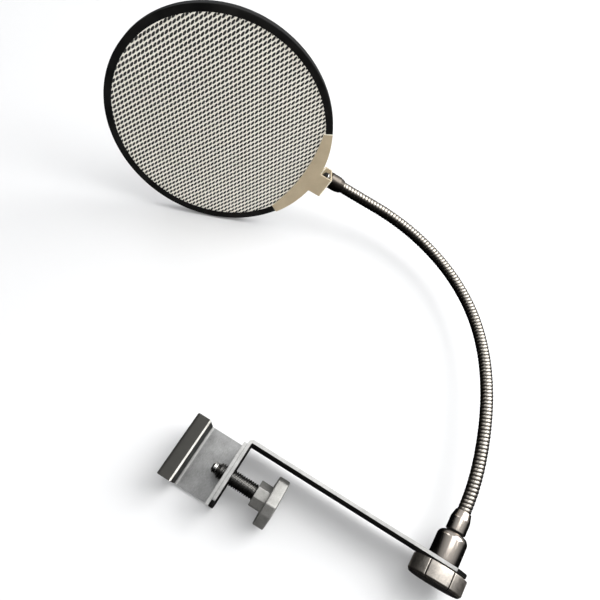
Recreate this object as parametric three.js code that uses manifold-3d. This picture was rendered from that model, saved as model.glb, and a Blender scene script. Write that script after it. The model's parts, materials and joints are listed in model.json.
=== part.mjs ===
// Pop filter on a gooseneck stand with a screw clamp, lying on its side.
// Built in the stand's own frame: X along the arm, Y up the lock stud, Z across the strip.
// The whole stand is then laid over so that it rests on its lowest three points, +Z up. Units: mm.
import * as THREE from 'three';
import Module from 'manifold-3d';
import { mergeVertices } from 'three/addons/utils/BufferGeometryUtils.js';

const wasm = await Module();
wasm.setup();

// ---- how the stand lies
const LIE_X_DEG = 6.12;
const LIE_Y_DEG = -0.22;

// ---- arm: one bent strip
const STRIP_W = 25;
const STRIP_T = 2;
const ARM_L = 150;
const LEG_L = 43.2;
const ARM_TIP_R = 12.3;
const LEG_TIP_R = 5;
const BEND_R = 2.6;
const STUD_X = 134.5;

// ---- clamp
const SHEET_T = 2;
const CLAMP_Y0 = -42.9;
const CLAMP_Y1 = -3.7;
const FLANGE_X = -0.1;
const BACK_Z = -12.5;
const JAW_WALL_X = -27.2;
const JAW_BEND_R = 4;
const BOOT_X0 = -34.2;
const BOOT_X1 = -24.9;
const BOOT_Z0 = -6.4;
const BOOT_Z1 = 13;
const BOOT_R = 2.2;
const BOOT_CORNER_R = 1;

// ---- clamp screw
const SCREW_Y = -23.5;
const SCREW_R = 4.9;
const SCREW_PITCH = 1.5;
const SCREW_TIP_X = -11;
const HUB_X = 18.6;
const KNOB_X = 26.3;
const KNOB_END_X = 33.5;
const HUB_R = 8.3;
const KNOB_R = 15.5;
const KNOB_FLAT_DEG = 66;
const KNOB_FLAT_HALF_DEG = 32;
const HUB_CORNER_DEG = 64;

// ---- lock knob, stud and base
const LOCK_R = 16.8;
const LOCK_TOP = -3.2;
const LOCK_BOTTOM = -13.9;
const LOCK_LOBES = 7;
const STUD_R = 4;
const BOSS_R = 9.5;
const BOSS_TOP = 17.6;
const BOSS_SHOULDER = 4;
const FERRULE_BOTTOM = 18.8;
const FERRULE_TOP = 31.5;
const FERRULE_R = 6.2;

// ---- gooseneck: a flexible tube shown as short rigid links, ball end in cup
const NECK_R = 4.2;
const CUP_GAP = 0.3;
const NECK_BORE_R = 3.2;
const LINK_L = 32;
const BENDS_DEG = [10.5, 6.5, 8.5, 11.5, 15, 15.5, 16, 16, 8];
const RISES_DEG = [-3, -2, -1.5, -0.5, 1, 3, 5, 5.5, 10];

// ---- head
const HEAD_ROLL_DEG = 68;
const NECK_TO_CENTRE = 96.5;
const AXIS_SIDE = 3;
const AXIS_DEPTH = 8.5;
const RIM_R = 75;
const RIM_FACE = 4.8;
const RIM_DEPTH = 5.4;
const RIM_T = 0.8;
const PLATE_T = 1.1;
const PLATE_INNER_R = 126.7;
const PLATE_INNER_X = 64.3;
const PLATE_HALF_DEG = 30.5;
const TAB_W = 16;
const TAB_X = 84.6;
const BOX_DEPTH = 15;

const rad = THREE.MathUtils.degToRad;
const group = new THREE.Group();
group.name = 'pop_filter';

// ---- helpers ---------------------------------------------------------------
function toManifold(geometry) {
  const g = geometry.clone();
  g.deleteAttribute('normal');
  g.deleteAttribute('uv');
  const m = mergeVertices(g, 1e-4);
  const vertProperties = new Float32Array(m.attributes.position.array);
  const triVerts = new Uint32Array(m.index.array);
  let solid = new wasm.Manifold(new wasm.Mesh({ numProp: 3, vertProperties, triVerts }));
  if (solid.volume() < 0) {
    for (let i = 0; i < triVerts.length; i += 3) {
      const t = triVerts[i];
      triVerts[i] = triVerts[i + 1];
      triVerts[i + 1] = t;
    }
    solid = new wasm.Manifold(new wasm.Mesh({ numProp: 3, vertProperties, triVerts }));
  }
  return solid;
}

function toGeometry(solid) {
  const mesh = solid.getMesh();
  const n = mesh.numProp;
  const count = mesh.vertProperties.length / n;
  const pos = new Float32Array(count * 3);
  for (let i = 0; i < count; i++) {
    pos[3 * i] = mesh.vertProperties[n * i];
    pos[3 * i + 1] = mesh.vertProperties[n * i + 1];
    pos[3 * i + 2] = mesh.vertProperties[n * i + 2];
  }
  const g = new THREE.BufferGeometry();
  g.setAttribute('position', new THREE.BufferAttribute(pos, 3));
  g.setIndex(new THREE.BufferAttribute(new Uint32Array(mesh.triVerts), 1));
  return g;
}

function moved(geometry, x, y, z) {
  return geometry.translate(x, y, z);
}

function box(x0, x1, y0, y1, z0, z1) {
  const g = new THREE.BoxGeometry(x1 - x0, y1 - y0, z1 - z0);
  return moved(g, (x0 + x1) / 2, (y0 + y1) / 2, (z0 + z1) / 2);
}

// a closed profile of [radius, height] pairs turned about Y
function turned(profile, segments) {
  const pts = profile.map((p) => new THREE.Vector2(Math.max(p[0], 0), p[1]));
  const first = pts[0];
  const last = pts[pts.length - 1];
  if (first.x > 0 || last.x > 0) pts.push(first.clone());
  return new THREE.LatheGeometry(pts, segments);
}

function outline(points) {
  return new THREE.Shape(points.map((p) => new THREE.Vector2(p[0], p[1])));
}

function slab(shape, depth, curveSegments = 12) {
  return new THREE.ExtrudeGeometry(shape, { depth, bevelEnabled: false, curveSegments });
}

function arcPoints(cx, cy, r, fromDeg, toDeg, steps) {
  const out = [];
  for (let i = 0; i <= steps; i++) {
    const a = rad(fromDeg + ((toDeg - fromDeg) * i) / steps);
    out.push([cx + r * Math.cos(a), cy + r * Math.sin(a)]);
  }
  return out;
}

// the sliver outside a rounded corner, corner at (0, 0), part towards +x +y
function cornerSliver(r) {
  const far = -1;
  const pts = [[far, far], [r, far], [r, 0]];
  return outline(pts.concat(arcPoints(r, r, r, 270, 180, 8).slice(1), [[far, r]]));
}

// placing: right-handed frame with columns x, y, z and origin o
function frameOf(x, y, z, o) {
  return new THREE.Matrix4().makeBasis(x, y, z).setPosition(o);
}

const IDENTITY = new THREE.Matrix4();
const parts = [];
function add(name, solid, colour, roughness, metalness, place = IDENTITY) {
  const geometry = toGeometry(solid);
  geometry.applyMatrix4(place);
  const material = new THREE.MeshStandardMaterial({ color: colour, roughness, metalness });
  const mesh = new THREE.Mesh(geometry, material);
  mesh.name = name;
  parts.push(mesh);
}

// Y axis of a turned piece laid along +X
const ALONG_X = new THREE.Matrix4().makeRotationZ(-Math.PI / 2);
// a shape drawn in x, y and extruded in z, stood up so that it is drawn in x, z and runs along -y
const DRAWN_XZ = new THREE.Matrix4().makeRotationX(Math.PI / 2);

// ---- arm strip ---------------------------------------------------------------
function armStrip() {
  const inner = BEND_R - STRIP_T;
  const outer = arcPoints(BEND_R, -BEND_R, BEND_R, 180, 90, 6);
  const inside = arcPoints(BEND_R, -BEND_R, inner, 90, 180, 4);
  const profile = outline([].concat(
    [[0, -LEG_L]],
    outer,
    [[ARM_L, 0], [ARM_L, -STRIP_T]],
    inside,
    [[STRIP_T, -LEG_L]],
  ));
  let strip = toManifold(moved(slab(profile, STRIP_W), 0, 0, -STRIP_W / 2));
  for (const edge of [-1, 1]) {
    strip = strip.subtract(toManifold(tipCorner(edge))).subtract(toManifold(legCorner(edge)));
  }
  const studHole = moved(new THREE.CylinderGeometry(4.3, 4.3, 10, 32), STUD_X, -1, 0);
  const screwHole = new THREE.CylinderGeometry(5.3, 5.3, 10, 32);
  screwHole.applyMatrix4(ALONG_X);
  strip = strip.subtract(toManifold(studHole));
  return strip.subtract(toManifold(moved(screwHole, 1, SCREW_Y, 0)));
}

// cutters for the rounded corners, on the edge z = edge * width / 2
function tipCorner(edge) {
  const g = slab(cornerSliver(ARM_TIP_R), 8);
  // drawn (x, y) becomes (-x, -edge * z), the depth runs along y
  g.applyMatrix4(new THREE.Matrix4().set(-1, 0, 0, 0, 0, 0, 1, 0, 0, -edge, 0, 0, 0, 0, 0, 1));
  return moved(g, ARM_L, -5, (edge * STRIP_W) / 2);
}

function legCorner(edge) {
  const g = slab(cornerSliver(LEG_TIP_R), 10);
  // drawn (x, y) becomes (-edge * z, y), the depth runs along x
  g.applyMatrix4(new THREE.Matrix4().set(0, 0, 1, 0, 0, 1, 0, 0, -edge, 0, 0, 0, 0, 0, 0, 1));
  return moved(g, -4, -LEG_L, (edge * STRIP_W) / 2);
}

// ---- clamp channel: flange, back and jaw wall in one bent sheet -----------------
function clampChannel() {
  const t = SHEET_T;
  const backTop = BACK_Z + t;
  const r = 1.2;
  const jx = JAW_WALL_X;
  const jr = JAW_BEND_R;
  const fx = FLANGE_X;
  const pts = [].concat(
    [[fx, 12.5]],
    [[fx - t, 12.5]],
    arcPoints(fx - t - r, backTop + r, r, 0, -90, 4),
    arcPoints(jx + jr, backTop + jr, jr, 270, 180, 8),
    [[jx, 11]],
    [[jx - t, 11]],
    arcPoints(jx + jr, backTop + jr, jr + t, 180, 270, 8),
    arcPoints(fx - t - r, backTop + r, r + t, -90, 0, 4),
  );
  const sheet = slab(outline(pts), CLAMP_Y1 - CLAMP_Y0);
  sheet.applyMatrix4(DRAWN_XZ);
  const solid = toManifold(moved(sheet, 0, CLAMP_Y1, 0));
  const hole = new THREE.CylinderGeometry(5.3, 5.3, 8, 32);
  hole.applyMatrix4(ALONG_X);
  return solid.subtract(toManifold(moved(hole, -1, SCREW_Y, 0)));
}

// ---- jaw boot: pad folded over the jaw wall ------------------------------------
function jawBoot() {
  const w = BOOT_X1 - BOOT_X0;
  const pts = [].concat(
    arcPoints(BOOT_X0 + BOOT_R, BOOT_Z1 - BOOT_R, BOOT_R, 180, 90, 5),
    arcPoints(BOOT_X0 + w - 1, BOOT_Z1 - 1, 1, 90, 0, 3),
    [[BOOT_X1, BOOT_Z0], [JAW_WALL_X + 0.15, BOOT_Z0], [JAW_WALL_X + 0.15, 11.2]],
    [[JAW_WALL_X - SHEET_T - 0.15, 11.2], [JAW_WALL_X - SHEET_T - 0.15, BOOT_Z0], [BOOT_X0, BOOT_Z0]],
  );
  const pad = slab(outline(pts), CLAMP_Y1 - CLAMP_Y0 + 0.4);
  pad.applyMatrix4(DRAWN_XZ);
  let solid = toManifold(moved(pad, 0, CLAMP_Y1 + 0.2, 0));
  for (const [y, s] of [[CLAMP_Y1 + 0.2, -1], [CLAMP_Y0 - 0.2, 1]]) {
    for (const [x, q] of [[BOOT_X0, 1], [BOOT_X1, -1]]) {
      const sliver = slab(cornerSliver(BOOT_CORNER_R), 30);
      sliver.scale(q, s, 1);
      solid = solid.subtract(toManifold(moved(sliver, x, y, -10)));
    }
  }
  return solid;
}

// ---- clamp screw ---------------------------------------------------------------
function clampScrew() {
  const from = -7.2;
  const to = 24.2;
  const root = SCREW_R - 0.75;
  const pts = [[0, -9.6], [2, -9.6], [2, from], [root - 0.4, from], [root, from + 0.4]];
  for (let x = from + 0.8; x < HUB_X - SCREW_PITCH; x += SCREW_PITCH) {
    pts.push([root, x], [SCREW_R, x + SCREW_PITCH * 0.4], [SCREW_R, x + SCREW_PITCH * 0.6]);
  }
  pts.push([root, HUB_X - 0.6], [root, to], [0, to]);
  const g = turned(pts, 28);
  g.applyMatrix4(ALONG_X);
  return toManifold(moved(g, 0, SCREW_Y, 0));
}

function screwTip() {
  const g = turned([
    [0, SCREW_TIP_X], [2.6, SCREW_TIP_X], [3.6, SCREW_TIP_X + 1], [3.6, -8.3], [3.2, -7.5],
    [2.3, -7.5], [2.3, -9.9], [0, -9.9],
  ], 28);
  g.applyMatrix4(ALONG_X);
  return toManifold(moved(g, 0, SCREW_Y, 0));
}

// outline of a knob with wide lobes: notches of the given half angle and depth
function knobOutline(r, lobes, startDeg, notchHalfDeg, notchDepth, lobeSteps) {
  const pts = [];
  for (let i = 0; i < lobes; i++) {
    const a = startDeg + (i * 360) / lobes;
    const next = a + 360 / lobes;
    pts.push([(r - notchDepth) * Math.cos(rad(a)), (r - notchDepth) * Math.sin(rad(a))]);
    for (let k = 0; k <= lobeSteps; k++) {
      const b = rad(a + notchHalfDeg + ((next - a - 2 * notchHalfDeg) * k) / lobeSteps);
      pts.push([r * Math.cos(b), r * Math.sin(b)]);
    }
  }
  return outline(pts);
}

// a faceted bar along +X, its corners at these angles from +Y towards +Z
function facetedBar(r, cornersDeg, from, to) {
  const bar = slab(outline(cornersDeg.map((a) => [r * Math.cos(rad(a)), r * Math.sin(rad(a))])), to - from);
  // drawn (x, y) becomes (y, z) and the depth runs along +X
  bar.applyMatrix4(new THREE.Matrix4().set(0, 0, 1, 0, 1, 0, 0, 0, 0, 1, 0, 0, 0, 0, 0, 1));
  return toManifold(moved(bar, from, 0, 0));
}

// a square head with wide flats and cut corners on an eight-sided hub
function screwKnob() {
  const headCorners = [];
  for (const turn of [0, 90, 180, 270]) {
    const flat = KNOB_FLAT_DEG + turn;
    headCorners.push(flat - KNOB_FLAT_HALF_DEG, flat + KNOB_FLAT_HALF_DEG);
  }
  const hubCorners = [0, 45, 90, 135, 180, 225, 270, 315].map((turn) => HUB_CORNER_DEG + turn);
  const plate = facetedBar(KNOB_R, headCorners, KNOB_X, KNOB_END_X);
  const hub = facetedBar(HUB_R, hubCorners, HUB_X, KNOB_X + 1);
  const dome = turned([
    [0, KNOB_X - 1], [KNOB_R - 1.2, KNOB_X - 1], [KNOB_R - 1.2, KNOB_X], [KNOB_R + 0.2, KNOB_X + 1.4],
    [KNOB_R + 0.2, KNOB_END_X - 1.6], [KNOB_R - 1.4, KNOB_END_X], [0, KNOB_END_X],
  ], 40);
  dome.applyMatrix4(ALONG_X);
  const bore = new THREE.CylinderGeometry(4.4, 4.4, 7, 28);
  bore.applyMatrix4(ALONG_X);
  const body = plate.intersect(toManifold(dome));
  const whole = body.add(hub).subtract(toManifold(moved(bore, HUB_X + 2.5, 0, 0)));
  return whole.translate([0, SCREW_Y, 0]);
}

// ---- lock knob, stud, washer ---------------------------------------------------
function lockKnob() {
  const shape = knobOutline(LOCK_R, LOCK_LOBES, 50, 2, 0.9, 5);
  const prism = slab(shape, LOCK_TOP - LOCK_BOTTOM);
  prism.applyMatrix4(DRAWN_XZ);
  const round = turned([
    [0, LOCK_BOTTOM], [LOCK_R - 2.2, LOCK_BOTTOM], [LOCK_R - 0.7, LOCK_BOTTOM + 0.7],
    [LOCK_R + 0.1, LOCK_BOTTOM + 2.2], [LOCK_R + 0.1, LOCK_TOP - 0.8], [LOCK_R - 0.7, LOCK_TOP],
    [0, LOCK_TOP],
  ], 42);
  const bore = moved(new THREE.CylinderGeometry(4.3, 4.3, 10, 28), 0, LOCK_TOP - 3, 0);
  const knob = toManifold(moved(prism, 0, LOCK_TOP, 0)).intersect(toManifold(round));
  return knob.subtract(toManifold(bore)).translate([STUD_X, 0, 0]);
}

function lockStud() {
  const g = turned([
    [0, -10.9], [STUD_R - 0.5, -10.9], [STUD_R, -10.4], [STUD_R, 12.2], [STUD_R - 0.8, 13], [0, 13],
  ], 28);
  return toManifold(moved(g, STUD_X, 0, 0));
}

function lockWasher() {
  const g = turned([[4.4, -3.0], [8.5, -3.0], [8.5, -2.1], [4.4, -2.1]], 32);
  return toManifold(moved(g, STUD_X, 0, 0));
}

// ---- base boss and ferrule -----------------------------------------------------
function baseBoss() {
  const r = BOSS_R;
  const s = BOSS_SHOULDER;
  const shoulder = arcPoints(r - s, BOSS_TOP - s, s, 0, 90, 6);
  const g = turned([].concat(
    [[4.3, 0.15], [r - 0.5, 0.15], [r, 0.65]],
    shoulder,
    [[5.0, BOSS_TOP], [5.0, 14.6], [0, 14.6], [0, 13.4], [4.3, 13.4]],
  ), 40);
  return toManifold(moved(g, STUD_X, 0, 0));
}

function baseFerrule() {
  const r = FERRULE_R;
  const g = turned([
    [0, 14.9], [4.7, 14.9], [4.7, FERRULE_BOTTOM - 0.3], [r - 0.7, FERRULE_BOTTOM - 0.3],
    [r, FERRULE_BOTTOM + 0.4], [r, 26.2], [r - 0.5, 28.6], [4.9, FERRULE_TOP], [4.5, FERRULE_TOP],
    [4.5, 20.2], [0, 20.2],
  ], 36);
  return toManifold(moved(g, STUD_X, 0, 0));
}

// ---- gooseneck links -----------------------------------------------------------
// a hollow link drawn along Y: the ball is centred on 0, the cup on its length
function link(from, length, hasBall, hasCup) {
  const pts = [];
  const ballDeg = THREE.MathUtils.radToDeg(Math.acos(NECK_BORE_R / NECK_R));
  const cup = NECK_R + CUP_GAP;
  if (hasBall) {
    pts.push(...arcPoints(0, 0, NECK_R, -ballDeg, 0, 3));
  } else {
    pts.push([NECK_BORE_R, from], [NECK_R, from]);
  }
  if (hasCup) {
    const rimDeg = THREE.MathUtils.radToDeg(Math.acos(NECK_R / cup));
    const boreDeg = THREE.MathUtils.radToDeg(Math.acos(NECK_BORE_R / cup));
    pts.push(...arcPoints(0, length, cup, -rimDeg, -boreDeg, 3));
  } else {
    pts.push([NECK_R, length], [NECK_BORE_R, length]);
  }
  return toManifold(turned(pts, 24));
}

// frames of the links: side, along and up, bent at every joint
const neckFrames = [];
const side = new THREE.Vector3(1, 0, 0);
const along = new THREE.Vector3(0, 1, 0);
const up = new THREE.Vector3(0, 0, 1);
const at = new THREE.Vector3(STUD_X, FERRULE_TOP, 0);
at.addScaledVector(along, LINK_L / 2);
for (let i = 0; i < BENDS_DEG.length; i++) {
  const bend = new THREE.Quaternion().setFromAxisAngle(up, rad(BENDS_DEG[i]));
  side.applyQuaternion(bend);
  along.applyQuaternion(bend);
  const rise = new THREE.Quaternion().setFromAxisAngle(side, rad(RISES_DEG[i]));
  along.applyQuaternion(rise);
  up.applyQuaternion(rise);
  neckFrames.push(frameOf(side, along, up, at));
  at.addScaledVector(along, i < BENDS_DEG.length - 1 ? LINK_L : LINK_L / 2);
}

// ---- head frame: x out along the neck's end, z the screen's front normal ----------
const headX = along.clone().negate();
const roll = new THREE.Quaternion().setFromAxisAngle(headX, rad(HEAD_ROLL_DEG));
const headZ = up.clone().applyQuaternion(roll);
const headY = new THREE.Vector3().crossVectors(headZ, headX);
const neckEnd = at.clone();
const centre = neckEnd.clone().addScaledVector(headX, -NECK_TO_CENTRE);
centre.addScaledVector(headY, -AXIS_SIDE).addScaledVector(headZ, AXIS_DEPTH);
const HEAD = frameOf(headX, headY, headZ, centre);

// Z of a turned ring: lathe Y becomes head Z
const RING = new THREE.Matrix4().makeRotationX(Math.PI / 2);
const AXIS_AT = [0, AXIS_SIDE, -AXIS_DEPTH];

function ring(r0, r1, z0, z1, segments) {
  const g = turned([[r0, z0], [r1, z0], [r1, z1], [r0, z1]], segments);
  g.applyMatrix4(RING);
  return toManifold(g);
}

function disc(r, z0, z1, segments) {
  const g = turned([[0, z0], [r, z0], [r, z1], [0, z1]], segments);
  g.applyMatrix4(RING);
  return toManifold(g);
}

function rimChannel() {
  const r0 = RIM_R - RIM_FACE;
  const r1 = RIM_R;
  const d = RIM_DEPTH;
  const t = RIM_T;
  const g = turned([
    [r0, -t], [r0, -0.15], [r0 + 0.15, 0], [r1 - 0.5, 0], [r1, -0.5], [r1, 0.5 - d], [r1 - 0.5, -d],
    [r0, -d], [r0, t - d], [r1 - t, t - d], [r1 - t, -t],
  ], 72);
  g.applyMatrix4(RING);
  return toManifold(g);
}

function turnedOnAxis(profile, segments) {
  const g = turned(profile, segments);
  g.applyMatrix4(ALONG_X);
  return toManifold(moved(g, AXIS_AT[0], AXIS_AT[1], AXIS_AT[2]));
}

// front crescent, tab, end wall and the tongue that returns to the rim's back
function headPlate() {
  const face = 0.15;
  const half = PLATE_HALF_DEG;
  const cx = PLATE_INNER_X - PLATE_INNER_R;
  const yIn = 34.9;
  const innerDeg = THREE.MathUtils.radToDeg(Math.asin(yIn / PLATE_INNER_R));
  const tabDeg = THREE.MathUtils.radToDeg(Math.asin(TAB_W / 2 / RIM_R));
  const shape = outline([].concat(
    arcPoints(0, 0, RIM_R, -half, -tabDeg, 8),
    [[TAB_X - 1.2, -TAB_W / 2], [TAB_X - 1.2, TAB_W / 2]],
    arcPoints(0, 0, RIM_R, tabDeg, half, 8),
    arcPoints(cx, 0, PLATE_INNER_R, innerDeg, -innerDeg, 16),
  ));
  const front = toManifold(moved(slab(shape, PLATE_T), 0, 0, face));
  const t = PLATE_T;
  const top = face + t;
  const bottom = top - BOX_DEPTH;
  const back = -RIM_DEPTH - 0.15;
  const x1 = TAB_X;
  const loop = outline([].concat(
    [[78, top], [78, face]],
    [[x1 - 1.6, face]],
    arcPoints(x1 - 1.6, face - 0.5, 0.5, 90, 0, 3),
    [[x1 - t, bottom + t]],
    [[79.6, bottom + t], [76.4, back], [65.5, back], [65.5, back - t], [75.9, back - t]],
    [[79.1, bottom]],
    [[x1 - 0.9, bottom], [x1, bottom + 0.9]],
    arcPoints(x1 - 1.6, top - 1.6, 1.6, 0, 90, 4),
  ));
  const strip = slab(loop, TAB_W);
  // drawn (x, y) becomes (x, z) and the depth runs along -y
  strip.applyMatrix4(DRAWN_XZ);
  const bent = toManifold(moved(strip, 0, TAB_W / 2, 0));
  const hole = new THREE.CylinderGeometry(2.4, 2.4, 6, 24);
  hole.applyMatrix4(ALONG_X);
  moved(hole, x1, AXIS_AT[1], AXIS_AT[2]);
  return front.add(bent).subtract(toManifold(hole));
}

function headFerrule() {
  const x0 = TAB_X + 0.3;
  const x1 = NECK_TO_CENTRE;
  return turnedOnAxis([
    [0, 90.2], [4.5, 90.2], [4.5, x1], [4.9, x1], [5.7, x1 - 2.4], [5.9, x1 - 4.5], [5.9, x0 + 0.5],
    [5.4, x0], [2.2, x0], [2.2, 88.2], [0, 88.2],
  ], 32);
}

function headScrew() {
  const x = TAB_X - PLATE_T - 1.3;
  return turnedOnAxis([
    [0, x - 2.4], [2.4, x - 2.4], [3.5, x - 1.4], [3.5, x], [2, x], [2, 87.8], [0, 87.8],
  ], 24);
}

function headWasher() {
  const x = TAB_X - PLATE_T;
  return turnedOnAxis([[2.3, x - 1.1], [3.9, x - 1.1], [3.9, x - 0.2], [2.3, x - 0.2]], 28);
}

// ---- assembly ------------------------------------------------------------------
const BLACK = 0x1d1c1b;
const GUN = 0x6b6560;
add('arm_strip', armStrip(), 0x2a2928, 0.42, 0.7);
add('clamp_channel', clampChannel(), 0x9c9b98, 0.45, 0.85);
add('jaw_boot', jawBoot(), 0x45443f, 0.75, 0.0);
add('clamp_screw', clampScrew(), 0x3a3937, 0.4, 0.85);
add('screw_tip', screwTip(), 0xb9b8b4, 0.3, 0.9);
add('screw_knob', screwKnob(), 0x4b4a48, 0.5, 0.1);
add('lock_knob', lockKnob(), 0x8a837c, 0.35, 0.6);
add('lock_stud', lockStud(), 0x8f8e8b, 0.35, 0.9);
add('lock_washer', lockWasher(), 0x2b2a29, 0.5, 0.6);
add('base_boss', baseBoss(), GUN, 0.3, 0.9);
add('base_ferrule', baseFerrule(), 0x74706b, 0.3, 0.9);

const stub = link(20.5 - FERRULE_TOP, LINK_L / 2, false, true);
add('neck_stub', stub, 0x4a4743, 0.35, 0.85, frameOf(
  new THREE.Vector3(1, 0, 0), new THREE.Vector3(0, 1, 0), new THREE.Vector3(0, 0, 1),
  new THREE.Vector3(STUD_X, FERRULE_TOP, 0),
));
const last = neckFrames.length - 1;
for (let i = 0; i < last; i++) {
  add(`neck_link_${i + 1}`, link(0, LINK_L, true, true), 0x4a4743, 0.35, 0.85, neckFrames[i]);
}
add('neck_end', link(0, LINK_L / 2 + 6, true, false), 0x4a4743, 0.35, 0.85, neckFrames[last]);

add('head_ferrule', headFerrule(), BLACK, 0.4, 0.6, HEAD);
add('head_screw', headScrew(), 0x8d8c89, 0.3, 0.9, HEAD);
add('head_washer', headWasher(), 0x9a9996, 0.35, 0.9, HEAD);
add('head_plate', headPlate(), 0xa99b80, 0.5, 0.35, HEAD);
add('rim_channel', rimChannel(), BLACK, 0.5, 0.3, HEAD);
add('mesh_screen', disc(73.6, -1.9, -1.1, 72), 0xd8d6cf, 0.35, 0.85, HEAD);
add('spacer_ring', ring(71, 73.8, -3.0, -2.4, 60), BLACK, 0.6, 0.0, HEAD);
add('inner_screen', disc(73.6, -3.5, -3.2, 72), 0x0f0f0f, 0.9, 0.0, HEAD);
add('retaining_ring', ring(71, 73.8, -4.4, -3.7, 60), BLACK, 0.6, 0.0, HEAD);

// ---- lay the stand down and put the origin under its middle ------------------------
const lie = new THREE.Matrix4().makeRotationY(rad(LIE_Y_DEG));
lie.multiply(new THREE.Matrix4().makeRotationX(rad(LIE_X_DEG)));
const bounds = new THREE.Box3();
for (const mesh of parts) {
  mesh.geometry.applyMatrix4(lie);
  mesh.geometry.computeBoundingBox();
  bounds.union(mesh.geometry.boundingBox);
}
for (const mesh of parts) {
  const x = (bounds.min.x + bounds.max.x) / 2;
  const y = (bounds.min.y + bounds.max.y) / 2;
  mesh.geometry.translate(-x, -y, -bounds.min.z);
  mesh.geometry.computeVertexNormals();
  group.add(mesh);
}

export default group;
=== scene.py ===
import json
import math

import bmesh
import bpy
from mathutils import Matrix, Quaternion, Vector


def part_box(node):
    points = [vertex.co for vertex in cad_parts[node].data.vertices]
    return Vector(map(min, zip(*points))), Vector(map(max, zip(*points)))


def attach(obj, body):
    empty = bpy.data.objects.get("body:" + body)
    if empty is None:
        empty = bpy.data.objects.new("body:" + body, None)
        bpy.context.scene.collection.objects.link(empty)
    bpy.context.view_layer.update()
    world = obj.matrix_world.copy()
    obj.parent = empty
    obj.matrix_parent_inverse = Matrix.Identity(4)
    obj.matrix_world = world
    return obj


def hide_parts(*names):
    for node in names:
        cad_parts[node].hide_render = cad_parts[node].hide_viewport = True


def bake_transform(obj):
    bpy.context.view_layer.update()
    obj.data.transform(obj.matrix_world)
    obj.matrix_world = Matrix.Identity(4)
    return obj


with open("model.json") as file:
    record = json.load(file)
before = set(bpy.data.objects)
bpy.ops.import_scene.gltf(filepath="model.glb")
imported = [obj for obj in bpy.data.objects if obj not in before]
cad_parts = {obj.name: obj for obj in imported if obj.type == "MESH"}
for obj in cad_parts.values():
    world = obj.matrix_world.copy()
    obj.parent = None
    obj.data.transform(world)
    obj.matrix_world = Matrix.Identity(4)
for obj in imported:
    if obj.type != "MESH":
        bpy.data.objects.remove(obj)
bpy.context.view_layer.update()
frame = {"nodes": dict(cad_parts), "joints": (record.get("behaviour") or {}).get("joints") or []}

JOINTS = {j["name"]: j for j in frame["joints"]}
MM = 0.001
TAU = 2 * math.pi


# ---- camera -------------------------------------------------------------------
CAMERA_EYE = Vector((0.04208, -0.15402, 0.3451))
CAMERA_LOOK = Vector((0.02042, 0.03838, 0.0))
CAMERA_ROLL = math.radians(25.678)
CAMERA_LENS = 31.9
CAMERA_SHIFT = (-0.055, 0.0146)


def aim(thing, place, target, roll=0.0):
    """Puts a camera or light at place, facing target."""
    place = Vector(place)
    thing.location = place
    thing.rotation_mode = "QUATERNION"
    turn = Quaternion((0, 0, 1), roll)
    thing.rotation_quaternion = (Vector(target) - place).to_track_quat("-Z", "Y") @ turn


def make_camera():
    data = bpy.data.cameras.new("camera")
    data.lens = CAMERA_LENS
    data.sensor_width = 36
    data.shift_x, data.shift_y = CAMERA_SHIFT
    data.clip_start = 0.01
    camera = bpy.data.objects.new("camera", data)
    bpy.context.scene.collection.objects.link(camera)
    aim(camera, CAMERA_EYE, CAMERA_LOOK, CAMERA_ROLL)
    bpy.context.scene.camera = camera


make_camera()

# ---- frames: bracket, screw, stud and head, each in millimetres ------------------------
# the bracket's lean as it lies on its knobs and the screen's rim
LIE_X = math.radians(6.12)
LIE_Y = math.radians(-0.22)
STUD_X = 134.5
SWIVEL_Y = 8
SCREW_Y = -23.5
BRACKET = (
    Matrix.Translation(JOINTS["base_swivel"]["pos_m"])
    @ Matrix.Rotation(LIE_Y, 4, "Y")
    @ Matrix.Rotation(LIE_X, 4, "X")
    @ Matrix.Scale(MM, 4)
    @ Matrix.Translation((-STUD_X, -SWIVEL_Y, 0))
)


def axes(x, y, z, origin=(0, 0, 0)):
    """A frame whose X, Y and Z point along x, y and z."""
    m = Matrix((x, y, z)).transposed().to_4x4()
    m.translation = Vector(origin)
    return m


# local Z along the stud, angles from the bracket's Z towards its X
STUD = BRACKET @ axes((0, 0, 1), (1, 0, 0), (0, 1, 0), (STUD_X, 0, 0))
# local Z along the screw, angles from the bracket's Y towards its Z
SCREW = BRACKET @ axes((0, 1, 0), (0, 0, 1), (1, 0, 0), (0, SCREW_Y, 0))

RIM_DEPTH = 5.4
# from the last hinge's axis to the screen's face, about the neck's end
HEAD_ROLL = math.radians(68)
head_x = Vector(JOINTS["head_turn"]["axis"]).normalized()
last_up = Vector(JOINTS["neck_bend_9"]["axis"]).normalized()
head_z = Matrix.Rotation(HEAD_ROLL, 3, head_x) @ last_up
head_z = (head_z - head_x * head_z.dot(head_x)).normalized()
head_y = head_z.cross(head_x)
rim_low, rim_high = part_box("rim_channel")
head_o = (rim_low + rim_high) / 2 + head_z * RIM_DEPTH / 2 * MM
HEAD = axes(head_x * MM, head_y * MM, head_z * MM, head_o)
# where the neck's end passes the screen's middle
AXIS_SIDE = 3
AXIS_DEPTH = 8.5
# local Z along the head ferrule, from the screen outwards
FERRULE = HEAD @ axes((0, 1, 0), (0, 0, 1), (1, 0, 0), (0, AXIS_SIDE, -AXIS_DEPTH))


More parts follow.
